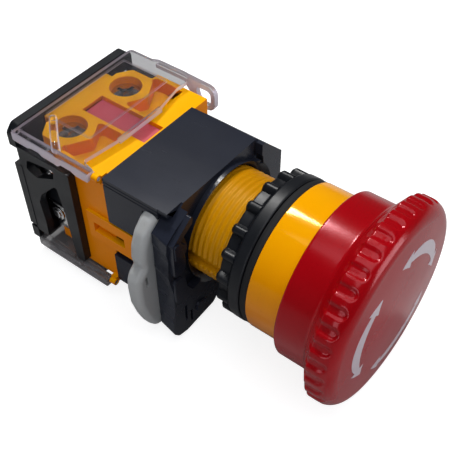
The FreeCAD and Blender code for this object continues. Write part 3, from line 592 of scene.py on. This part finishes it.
def curved_arrow(middle):
    """A curved band, widest at its middle, with a barbed point at each end, laid on the face.

    Each cut across it is (inner angle, half width, outer angle), in degrees from its middle.
    """
    cuts = []
    for step in range(BAND_STEPS + 1):
        part = -ARROW_NECK + 2 * ARROW_NECK * step / BAND_STEPS
        swell = math.cos(math.radians(90 * part / ARROW_NECK)) ** 0.8
        cuts.append((part, BAND_HALF + BAND_HALF * swell, part))
    for step in range(BARB_STEPS + 1):
        part = ARROW_NECK + (ARROW_TIP - ARROW_NECK) * step / BARB_STEPS
        half = BARB_HALF * (1 - step / BARB_STEPS) + TIP_HALF
        lag = BARB_LAG * (1 - step / BARB_STEPS)
        cuts.append((part, half, part - lag))
        cuts.insert(0, (-part, half, -part + lag))
    points = []
    for inner_angle, half, outer_angle in cuts:
        on_band = abs(inner_angle) < ARROW_NECK
        radius = ARROW_RADIUS + (BAND_BOW * (1 - (inner_angle / ARROW_NECK) ** 2) if on_band else 0)
        for angle, reach in ((outer_angle, radius + half), (inner_angle, radius - half)):
            points.append(on_face(middle + angle, reach, INLAY_LIFT))
            points.append(on_face(middle + angle, reach, -INLAY_DEPTH))
    faces = [(0, 1, 3, 2), tuple(4 * len(cuts) - k for k in (4, 3, 1, 2))]
    for step in range(len(cuts) - 1):
        a, b = 4 * step, 4 * (step + 1)
        faces += [(a, b, b + 2, a + 2), (a + 1, a + 3, b + 3, b + 1)]
        faces += [(a, a + 1, b + 1, b), (a + 2, b + 2, b + 3, a + 3)]
    return make("arrow", points, faces)


arrows = [curved_arrow(middle) for middle in ARROW_MIDDLES]
face_arrows = combine(arrows[0], arrows[1:], "UNION")
face_arrows.name = "face_arrows"
finish(face_arrows, WHITE_INK, "head", "white_print", "release_arrows")

# ------------------------------------------------------------ operator body

PITCH = 1.2
THREAD_DEPTH = 0.26
THREAD_START, THREAD_END, THREAD_FADE = 0.1, 20.9, 0.8
THREADED_FROM_RADIUS = 10.5
SLOT_LEAN, SLOT_HALF, SLOT_EDGE = 0.08, 1.6, 0.35
BARREL_RADIUS, SLOT_DEPTH = 11, 1.3
THREAD_STEP, BODY_STEP = 0.1, 2.4
BODY = [
    (8.25, -13.55, 0.3), (14.7, -13.55, 0.5), (14.7, -1.48, 0.25), (10.98, -1.48, 0),
    (10.98, 20.98, 0.4), (8.25, 20.98, 0.3), (8.25, 7.0, 0), (3.5, 7.0, 0.3), (3.5, 4.6, 0),
    (5.0, 4.6, 0), (5.0, 3.0, 0), (8.25, 3.0, 0)]


def barrel_shift(angle, radius, y):
    """Cuts the thread into the barrel, and the key slot near -X."""
    if radius < THREADED_FROM_RADIUS or not THREAD_START <= y <= THREAD_END:
        return radius, y
    phase = (y / PITCH - angle / (2 * math.pi)) % 1
    wave = 0.5 - 0.5 * math.cos(2 * math.pi * phase)
    fade = smooth_step((y - THREAD_START) / THREAD_FADE)
    fade *= smooth_step((THREAD_END - y) / THREAD_FADE)
    radius -= THREAD_DEPTH * (1 - wave) * fade
    across = abs(angle - math.pi - SLOT_LEAN) * BARREL_RADIUS
    if across < SLOT_HALF:
        floor_of_slot = BARREL_RADIUS - SLOT_DEPTH * smooth_step((SLOT_HALF - across) / SLOT_EDGE)
        radius = min(radius, floor_of_slot)
    return radius, y


body_profile = rounded(BODY, 5)
fine_body = []
for k, here in enumerate(body_profile):
    after = body_profile[(k + 1) % len(body_profile)]
    on_barrel = 10.4 < min(here[0], after[0]) and max(here[0], after[0]) < BARREL_RADIUS
    threaded = on_barrel and max(here[1], after[1]) > THREAD_START
    fine_body += divided(here, after, THREAD_STEP if threaded else BODY_STEP)
operator = lathe("bezel_and_barrel", fine_body, segments=264, shift=barrel_shift)
finish(operator, YELLOW, "base", "yellow_plastic", "operator_body", sharp=50)

GASKET = [
    (11.25, -1.47, 0.2), (14.45, -1.47, 0.25), (14.6, -0.75, 0.5), (14.45, -0.02, 0.25),
    (11.25, -0.02, 0.2)]
gasket = lathe("sealing_ring", rounded(GASKET, 5), segments=160)
finish(gasket, RUBBER, "base", "black_rubber", "panel_gasket")

NUT_RIBS = 18
NUT_ROOT, RIB_CREST = 13.35, 14.6
RIB_HALF, RIB_POWER, RIB_START = 0.95, 2.6, 10
RIB_END, RIB_END_LENGTH, RIB_END_DROP = 4.9, 0.5, 0.45
NUT_MEAN_RADIUS = 14
NUT = [
    (11.08, 0.07, 0.2), (14.68, 0.07, 0.3), (14.66, 2.35, 0.5), (13.36, 3.1, 0.6),
    (13.36, 5.38, 0.3), (11.08, 5.38, 0.3)]


def nut_shift(angle, radius, y):
    """Raises narrow round ribs on the nut's waist, behind its smooth flange."""
    if radius <= 13 or y < 2.5:
        return radius, y
    pitch = 2 * math.pi / NUT_RIBS
    turned = (angle + math.radians(RIB_START) + pitch / 2) % pitch
    part = min(1, abs(turned - pitch / 2) * NUT_MEAN_RADIUS / RIB_HALF)
    rib = NUT_ROOT + (RIB_CREST - NUT_ROOT) * math.sqrt(1 - part ** RIB_POWER)
    rib -= RIB_END_DROP * smooth_step((y - RIB_END) / RIB_END_LENGTH)
    return max(rib, radius), y


nut = lathe("ribbed_ring_nut", finer(rounded(NUT, 5), 0.25), NUT_RIBS * 22, nut_shift)
finish(nut, BLACK, "ring_nut", "black_plastic", "ring_nut", sharp=38)

# ------------------------------------------------- adaptor and locking lever

adaptor = from_cad("mounting_adaptor", "adaptor_body")
FLANGE_EDGE = [
    (-12.0, 12.3, 0.3), (-14.7, 10.7, 1), (-17.2, 9.0, 0.8), (-17.5, 6.7, 1), (-17.2, 4.6, 3),
    (-17.5, 0.5, 3), (-16.5, -5.0, 4), (-16.3, -9.4, 4), (-17.2, -13.2, 2), (-17.4, -16.4, 1.4),
    (-15.9, -18.3, 1.5), (-13.4, -18.9, 1.2), (-6.0, -18.2, 1), (-4.6, -16.9, 0.3),
    (-12.0, -16.8, 0), (-14.6, -13.0, 0)]
CLIP = [
    (-17.6, 8.6, 0.6), (-14.9, 10.5, 0.8), (-12.0, 12.4, 0.4), (-12.2, 10.4, 0.6),
    (-14.6, 9.0, 0.5), (-15.6, 8.2, 0.5), (-14.9, 7.2, 0.5), (-13.9, 6.4, 0.5), (-14.3, 4.8, 0.4),
    (-15.6, 4.4, 0.3), (-14.9, 3.0, 0.5), (-15.3, 0.8, 0.5), (-17.6, 0.2, 0.8)]
CLIP_RIB = [
    (-17.4, 8.6, 0.5), (-16.0, 8.4, 0.5), (-15.2, 6.2, 0.4), (-15.9, 4.9, 0.5), (-17.3, 4.6, 0.5)]
CLIP_LOW = [
    (-17.4, -1.2, 0.8), (-15.0, -1.6, 0.6), (-14.6, -6.0, 0.6), (-15.4, -8.4, 0.6),
    (-17.2, -7.4, 0.8)]
PAD = [(-11.2, -13.2, 0.6), (-8.6, -14.2, 0.6), (-7.8, -16.2, 0.6), (-11.4, -16.0, 0.6)]
CORNER_FRONT = [(-11.4, 12.87), (-19.0, 7.75), (-19.0, 14.0), (-11.4, 14.0)]
CORNER_REAR = [(-12.62, 12.05), (-19.0, 7.75), (-19.0, 13.6), (-15.2, 13.6), (-15.2, 12.05)]
FLANGE_LEAN = 0.8

flange = prism("flange_edge", rounded(FLANGE_EDGE), 12.72, 16.72)
for vertex in flange.data.vertices:
    if vertex.co.y < 14 * MM and vertex.co.x < -13 * MM:
        vertex.co.x -= FLANGE_LEAN * MM
combine(adaptor, [
    prism("corner_front", CORNER_FRONT, 11.0, 14.7),
    prism("corner_rear", CORNER_REAR, 14.6, 16.85),
])
combine(adaptor, [
    flange,
    prism("clip", rounded(CLIP), 11.7, 14.0),
    prism("clip_rib", rounded(CLIP_RIB), 11.4, 12.2),
    prism("clip_low", rounded(CLIP_LOW), 12.15, 14.0),
    prism("pad", rounded(PAD), 12.3, 14.0),
], "UNION")


def ribbon(name, line, half, low, high):
    """A cutter that follows a line of (x, z) points at a constant width, with square ends."""
    left_side, right_side = [], []
    for index, (a, b) in enumerate(line):
        c, d = line[max(index - 1, 0)]
        e, f = line[min(index + 1, len(line) - 1)]
        along = Vector((e - c, f - d)).normalized()
        left_side.append((a - along.y * half, b + along.x * half))
        right_side.append((a + along.y * half, b - along.x * half))
    return prism(name, left_side + right_side[::-1], low, high)


RECESS = [
    (-11.9, 13.6, 0), (-12.4, 10.4, 0.6), (-13.6, 7.6, 0.8), (-12.9, 5.2, 0.6), (-13.6, 3.4, 0.6),
    (-13.4, 0.8, 0.6), (-14.2, -1.6, 0.8), (-13.4, -6.2, 1), (-12.0, -8.4, 1), (-8.0, -8.0, 1),
    (-8.0, 9.0, 1), (9.5, 9.0, 0.5), (9.5, 13.6, 0)]
SLOT_RADIUS = 13.3
recess = prism("recess", rounded(RECESS), 11.9, 14.32)
combine(recess, [prism("ring_wall", circle(0, 0, 12.25, 90), 11.0, 15.0)])
combine(adaptor, [recess])
arc = []
for degrees in range(136, 66, -5):
    angle = math.radians(degrees)
    arc.append((SLOT_RADIUS * math.cos(angle), SLOT_RADIUS * math.sin(angle)))
slot_path = [(-10.4, 8.0), *arc, (8.2, 10.4), (9.4, 9.6), (9.7, 7.6)]
combine(adaptor, [
    ribbon("slot_line", slot_path, 0.34, 11.5, 14.0),
    block("side_groove_high", (-16.5, -15.08), (14.0, 30.5), (12.1, 12.32)),
    block("side_groove_low", (-16.5, -15.08), (14.0, 30.5), (11.35, 11.6)),
    block("edge_slot", (-14.6, -14.0), (11.0, 13.6), (-15.6, -11.2)),
    block("edge_slot_low", (-13.1, -12.5), (11.0, 13.4), (-17.4, -13.9)),
])
soften(adaptor, 0.24)
finish(adaptor, BLACK_GLOSS, "base", "black_plastic", "adaptor_body")

LEVER = [
    (-4.6, 9.0, 2), (-7.6, 11.6, 3), (-13.4, 11.8, 4), (-16.4, 10.6, 3), (-18.5, 8.5, 3),
    (-19.7, 5.8, 4), (-20.1, 2.8, 2), (-19.7, 0.9, 0.5), (-20.9, 0.0, 1.6), (-21.8, -1.6, 3),
    (-21.98, -4.2, 5), (-21.8, -8.0, 6),
    (-20.8, -12.0, 6), (-19.6, -15.2, 3), (-18.2, -17.2, 1.8), (-16.4, -17.58, 1.8), (-15.0, -16.4, 2),
    (-13.6, -12.0, 4), (-10.6, -8.0, 3), (-7.4, -6.6, 2), (-7.4, 2.0, 4),
]
LEVER_SLOT = [(-19.9, -1.1, 0.2), (-19.3, -0.9, 0.2), (-19.2, -3.6, 0.2), (-19.8, -3.8, 0.2)]
LEVER_Y = (16.92, 20.38)
lever = pillow("locking_lever", finer(rounded(LEVER, 8), 0.5), *LEVER_Y, 1.25)
combine(lever, [pillow("ring", circle(0, 0, 12.18, 120), *LEVER_Y, 0.3, 3)], "UNION")
combine(lever, [
    prism("bore", circle(0, 0, 11.17, 120), 16.0, 21.0),
    prism("slot", rounded(LEVER_SLOT), 16.0, 18.2),
])
finish(lever, NYLON, "lock_lever", "white_nylon", "lock_lever", sharp=50)

# -------------------------------------------------------------- contact block

housing = from_cad("contact_block_housing", "contact_housing")
BLOCK_MIDDLE = -1.5
POLES = ((-7.8, -1), (7.8, 1))


def mirrored(height, upper):
    """A height as given for the block's upper half, or mirrored about its middle for the lower."""
    return height if upper else 2 * BLOCK_MIDDLE - height


def flipped(low, high, upper):
    """Two heights as given for the upper half, or mirrored for the lower one, the lowest first."""
    return sorted((mirrored(low, upper), mirrored(high, upper)))


def side_limits(side, near, far):
    """Two distances from the middle plane as limits of x on one side, the lowest first."""
    return sorted((side * near, side * far))


POCKET = [
    (3.5, 41.5, 1), (3.5, 35.3, 0.8), (7.8, 34.7, 2.5), (11.6, 35.3, 1.6), (13.5, 37.6, 1.4),
    (13.5, 42.5, 1)]
REAR_CORNER = [
    (17.5, 42.7, 0), (12.8, 42.7, 0.5), (12.8, 47.9, 0.8), (9.6, 50.0, 0.6), (9.6, 52.5, 0),
    (17.5, 52.5, 0)]
pockets, collars, wells = [], [], []
for centre, side in POLES:
    pocket = rounded([(side * a, b, r) for a, b, r in POCKET])
    corner = rounded([(side * a, b, r) for a, b, r in REAR_CORNER])
    collar = rounded([(a, b, 0.9) for a, b in circle(centre, 44.8, 5.35, 6, 30)])
    well = circle(centre, 45.3, 3.35, 60)
    for upper in (True, False):
        pockets.append(prism("pocket", pocket, *flipped(9.0, 12.6, upper), "z"))
        collars.append(prism("collar", collar, *flipped(8.5, 11.98, upper), "z"))
        pockets.append(prism("corner", corner, *flipped(1.0, 14.0, upper), "z"))
        wells.append(prism("well", well, *flipped(8.0, 13.0, upper), "z"))
    pockets.append(block("side_entry", side_limits(side, 10.9, 17.0), (42.7, 52.0), (-11.4, 8.4)))
combine(housing, pockets)
combine(housing, [*collars, block("roof", (-2.9, 2.9), (47.25, 51.58), (11.3, 11.99))], "UNION")
combine(housing, wells)
soften(housing, 0.2)
finish(housing, YELLOW_SATIN, "base", "yellow_plastic", "contact_housing")

carrier = from_cad("push_carrier", "contact_carrier")
combine(carrier, [block("top_cut", (-4, 4), (30, 48), (11.15, 13))])
soften(carrier, 0.15, 2)
finish(carrier, PINK, "carrier", "pink_plastic", "contact_carrier")


def ring_path(name, outline, thick, low, high, axis):
    """A flat loop: an outline stretched along an axis, without what is over thick inside it."""
    loop = prism(name, rounded(outline), low, high, axis)
    middle_a = sum(a for a, _, _ in outline) / len(outline)
    middle_b = sum(b for _, b, _ in outline) / len(outline)
    inner = [(a - math.copysign(thick, a - middle_a), b - math.copysign(thick, b - middle_b),
              max(0.2, radius - thick)) for a, b, radius in outline]
    return combine(loop, [prism("middle", rounded(inner), low - 1, high + 1, axis)])


PLATE = [
    (-16.48, 12.4), (-14.9, 13.98), (14.9, 13.98), (16.48, 12.4), (16.48, -15.9), (15.2, -17.18),
    (-15.2, -17.18), (-16.48, -15.9)]
SIDE_FRAME = [
    (38.02, 9.78, 0.6), (51.9, 9.78, 0), (51.9, -12.98, 0), (48.5, -12.98, 0.6), (48.3, -8.7, 1.5),
    (48.8, -3.2, 0.8), (47.6, -0.6, 2), (42.3, 4.7, 0.6), (41.3, -2.0, 2), (40.4, -14.2, 0.5),
    (38.02, -14.2, 0.5)]
UPPER_WINDOW = [(50.3, 4.9, 0.5), (49.6, 7.4, 1), (42.1, 8.6, 0.5), (42.5, 6.4, 0.5), (47.6, 3.9, 0.8)]
PANEL_LINE = [(-10.4, 11.4, 1.2), (10.4, 11.4, 1.2), (10.4, -14.6, 1.2), (-10.4, -14.6, 1.2)]
back = prism(
    "back_plate_and_side_frames", rounded([(a, b, 1.2) for a, b in PLATE], 4), 51.72, 53.68)
notches, sides, windows = [], [], []
for side in (-1, 1):
    notches.append(block("wire_notch", side_limits(side, 13.2, 17.5), (51.0, 55.0), (4.8, 9.4)))
    notches.append(block("edge_notch", side_limits(side, 15.6, 17.5), (51.0, 55.0), (-12.6, -11.8)))
    sides.append(prism("side_frame", rounded(SIDE_FRAME), *side_limits(side, 14.72, 16.38), "x"))
    # A black wall just inside each side window, joined to the back frame
    sides.append(block("black_inner_wall", side_limits(side, 11.1, 13.4), (43.0, 52.0), (-4.6, 1.6)))
    windows.append(prism("window", rounded(UPPER_WINDOW), *side_limits(side, 13, 18), "x"))
    for z in (-13.6, 10.4):
        windows.append(prism("ejector_mark", circle(side * 12.6, z, 1.3, 36), 53.52, 54.5))
combine(back, notches)
combine(back, sides, "UNION")
combine(back, [*windows, ring_path("panel_line", PANEL_LINE, 0.5, 53.45, 54.5, "y")])
soften(back, 0.26)
finish(back, BLACK, "base", "black_plastic", "back_frame")


# The covers, with heights as on the upper one: SHEET in (x, y), the others in (y, z)
SHEET = [
    (-16.98, 31.7, 0.3), (-15.3, 31.7, 0.3), (-14.6, 34.9, 0.6), (-3.8, 33.5, 2), (3.2, 33.5, 2),
    (11.7, 35.2, 2), (14.6, 35.0, 1), (16.98, 36.6, 1), (16.98, 44.2, 1), (16.3, 45.6, 1),
    (16.3, 51.48, 0.8), (-16.98, 51.48, 0.8)]
BEAD = [(-9.6, 50.0, 0.6), (12.6, 50.0, 0.6), (12.6, 38.0, 0.6), (-9.6, 38.0, 0.6)]
STRAP = [
    (-9.4, 48.0, 13.7), (-10.2, 47.0, 14.15), (-12.0, 45.0, 14.3), (-14.0, 42.7, 14.2),
    (-15.4, 41.0, 13.8), (-16.0, 40.1, 13.1), (-16.1, 39.8, 12.6)]
EAR = [
    (29.0, 13.5, 1.9), (37.0, 13.8, 0.4), (37.0, 12.6, 0.3), (34.6, 9.6, 1.2), (33.2, 8.0, 1.9),
    (29.0, 8.0, 1.9)]
EYE = [(30.1, 12.5, 1), (34.0, 12.5, 0.8), (33.4, 10.2, 1), (32.6, 9.0, 1), (30.1, 9.0, 1)]
LEFT_WALL = [
    (31.75, 11.9, 0.3), (31.75, 13.8, 0), (51.45, 13.8, 0), (51.45, 11.9, 0.3), (47.4, 11.9, 0.6),
    (46.6, 12.3, 0.6), (44.4, 12.3, 0.6), (43.6, 11.85, 0.6), (40.2, 11.85, 0.6), (39.0, 12.4, 0.8),
    (36.0, 12.4, 0.8), (35.0, 11.9, 0.6)]
HINGE_X, HINGE_Z = -15.6, 12.7


def terminal_cover(name, upper):
    """A clear cover: a sheet with a hinge rail, wall and strap at its left and an ear at its right."""
    def level(low, high):
        return flipped(low, high, upper)

    def turned_over(outline):
        return rounded([(a, mirrored(b, upper), r) for a, b, r in outline])

    cover = prism(name, rounded(SHEET), *level(13.05, 13.86), "z")
    loop = prism("ear", turned_over(EAR), 15.9, 16.98, "x")
    combine(loop, [prism("eye", turned_over(EYE), 14, 18, "x")])
    hinge_height = mirrored(HINGE_Z, upper)
    strap = [(x, y, mirrored(z, upper)) for x, y, z in STRAP]
    strap_foot = circle(39.8, mirrored(12.75, upper), 1.05, 24)
    combine(cover, [
        loop,
        prism("rail", circle(HINGE_X, hinge_height, 0.78, 24), 31.85, 51.45),
        prism("nub", circle(HINGE_X, hinge_height, 0.43, 18), 30.3, 52.7),
        prism("wall", turned_over(LEFT_WALL), -16.96, -16.42, "x"),
        block("right_wall", (16.0, 16.9), (36.4, 44.4), level(12.2, 13.7)),
        block("front_lip", (-5.9, 5.9), (34.0, 34.8), level(12.3, 13.7)),
        tube("strap", strap, 0.85, 16),
        prism("strap_boss", strap_foot, -16.97, -15.6, "x"),
        ring_path("bead", BEAD, 0.35, *level(13.5, 14.0), "z"),
    ], "UNION")
    soften(cover, 0.16, 2)
    node = "top_cover" if upper else "bottom_cover"
    # The lower cover takes the painted-shade copy of the clear plastic
    finish(cover, CLEAR if upper else SHADED_CLEAR, node, "clear_plastic", node)


terminal_cover("clear_top_cover", True)
terminal_cover("clear_bottom_cover", False)

CLAMP = [
    (8.6, 8.2, 0), (13.9, 8.2, 0.9), (13.9, 1.7, 0.4), (13.1, 1.7, 0), (13.1, 7.3, 0.5), (8.6, 7.3, 0)]
RIVET_Y, RIVET_Z = 46.4, 3.7


def clamps():
    """The bent clamp of each terminal, out to its side window, with a stepped rivet through it."""
    pieces = []
    for side in (-1, 1):
        for upper in (True, False):
            outline = [(side * a, mirrored(b, upper), r) for a, b, r in CLAMP]
            pieces.append(prism("saddle", rounded(outline), 44.6, 49.6))
            for radius, reach in ((1.6, 14.35), (0.95, 14.68)):
                rivet = circle(RIVET_Y, mirrored(RIVET_Z, upper), radius, 24)
                pieces.append(prism("rivet", rivet, *side_limits(side, 13.5, reach), "x"))
    return pieces


screws = from_cad("terminal_screw_set", "terminal_screws")
soften(screws, 0.3)
finish(screws, ZINC, "base", "zinc_steel", "terminal_screws")
washers = combine(from_cad("clamp_washer_set", "clamp_washers"), clamps(), "UNION")
soften(washers, 0.18)
finish(washers, ZINC, "base", "zinc_steel", "clamp_washers")

# ------------------------------------------------------------------- springs

head_spring = coil("head_return_spring", 6.3, 0.4, -12.0, 3.0, 6)
finish(head_spring, STEEL, "base", "spring_steel", "return_spring")
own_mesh(head_spring)
back_spring = coil("carrier_return_spring", 1.4, 0.25, 39.0, 51.7, 8, 0, -1.5)
finish(back_spring, STEEL, "base", "spring_steel", "carrier_spring")
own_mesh(back_spring)

# --------------------------------------------------- CAD nodes that stay shown

KEPT = {
    "stem_seal": RUBBER, "plunger_stem": BLACK, "stem_clip": STEEL, "pusher": NYLON, "latch_pins": ZINC,
    "latch_spring": STEEL, "latch_sleeve": BLACK, "nc_bridge": BRASS, "no_bridge": BRASS,
    "nc_spring": STEEL, "no_spring": STEEL, "nc_terminal_top": ZINC, "nc_terminal_bottom": ZINC,
    "no_terminal_top": ZINC, "no_terminal_bottom": ZINC,
}
for node, material in KEPT.items():
    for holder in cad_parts[node].material_slots:
        holder.material = material

# ------------------------------------------------------ floor, light, camera

FLOOR_HALF = 900
FLOOR_BOTTOM, FLOOR_TOP = -24.0, -20.06
floor = prism("floor", [(-FLOOR_HALF, -FLOOR_HALF), (FLOOR_HALF, -FLOOR_HALF),
                        (FLOOR_HALF, FLOOR_HALF), (-FLOOR_HALF, FLOOR_HALF)],
              FLOOR_BOTTOM, FLOOR_TOP, "z")
floor_material, floor_tree, floor_shader = tree_of("floor")
floor_place = floor_tree.nodes.new("ShaderNodeTexCoord")
floor_cloud = ranged(floor_tree, noise_on(floor_tree, floor_place, 6, 3), 0, 1)
floor_tone = blended(floor_tree, floor_cloud, (0.42, 0.42, 0.42), (0.40, 0.40, 0.405))
floor_tree.links.new(floor_tone, floor_shader.inputs["Base Color"])
floor_shader.inputs["Roughness"].default_value = 0.8
floor_shader.inputs["Emission Color"].default_value = (1, 1, 1, 1)
# The floor glows for the camera alone, so it looks as white as the photograph's ground and gives
# the object no light of its own
FLOOR_GLOW = 0.84
seen = floor_tree.nodes.new("ShaderNodeLightPath")
glow = ranged(floor_tree, seen.outputs["Is Camera Ray"], 0, FLOOR_GLOW, 0, 1)
floor_tree.links.new(glow, floor_shader.inputs["Emission Strength"])
floor.data.materials.append(floor_material)


def lamp(name, place, target, size, power, colour=(1, 1, 1)):
    """A square soft light, with its place and target in millimetres."""
    light = bpy.data.lights.new(name, "AREA")
    light.size = size * MM
    light.energy = power
    light.color = colour
    holder = bpy.data.objects.new(name, light)
    scene.collection.objects.link(holder)
    holder.location = Vector(place) * MM
    towards = Vector(target) - Vector(place)
    holder.rotation_euler = towards.to_track_quat("-Z", "Y").to_euler()


lamp("key", (100, 150, 330), (0, 10, 0), 62, 0.95, (1, 0.99, 0.97))
lamp("overhead", (-60, -90, 430), (0, 10, 0), 420, 1.15, (0.95, 0.97, 1))
lamp("side", (-420, -60, 120), (0, 10, 0), 200, 0.34, (0.95, 0.97, 1))
lamp("front", (160, -420, 60), (0, 0, 0), 240, 0.95, (0.97, 0.98, 1))

# The background is white for the camera alone, and lights the object only a little
WORLD_LIGHT, WORLD_SEEN = 0.07, 1.0
world = bpy.data.worlds.new("studio")
scene.world = world
world.use_nodes = True
world_tree = world.node_tree
background = world_tree.nodes["Background"]
background.inputs["Color"].default_value = (0.95, 0.97, 1, 1)
paths = world_tree.nodes.new("ShaderNodeLightPath")
strength = ranged(world_tree, paths.outputs["Is Camera Ray"], WORLD_LIGHT, WORLD_SEEN, 0, 1)
world_tree.links.new(strength, background.inputs["Strength"])
scene.view_settings.view_transform = "Standard"

# The camera's direction, place and lens, as solved from the photograph's edges
AZIMUTH, ELEVATION, ROLL = math.radians(-49.82), math.radians(48.98), math.radians(-2.11)
CAMERA_PLACE = Vector((-83.06, -51.62, 108.52))
away = Vector((math.sin(AZIMUTH) * math.cos(ELEVATION),
               -math.cos(AZIMUTH) * math.cos(ELEVATION),
               math.sin(ELEVATION)))
sideways = Vector((math.cos(AZIMUTH), math.sin(AZIMUTH), 0))
right = math.cos(ROLL) * sideways + math.sin(ROLL) * away.cross(sideways)
turned = Matrix((right, away.cross(right), away)).transposed().to_4x4()
camera_data = bpy.data.cameras.new("camera")
camera_data.sensor_width = 36
camera_data.lens = 63.38
camera_data.shift_x = 0.0365
camera_data.shift_y = 0.086
camera_data.clip_start = 0.005
camera_data.clip_end = 20
camera = bpy.data.objects.new("camera", camera_data)
scene.collection.objects.link(camera)
camera.matrix_world = Matrix.Translation(CAMERA_PLACE * MM) @ turned
scene.camera = camera
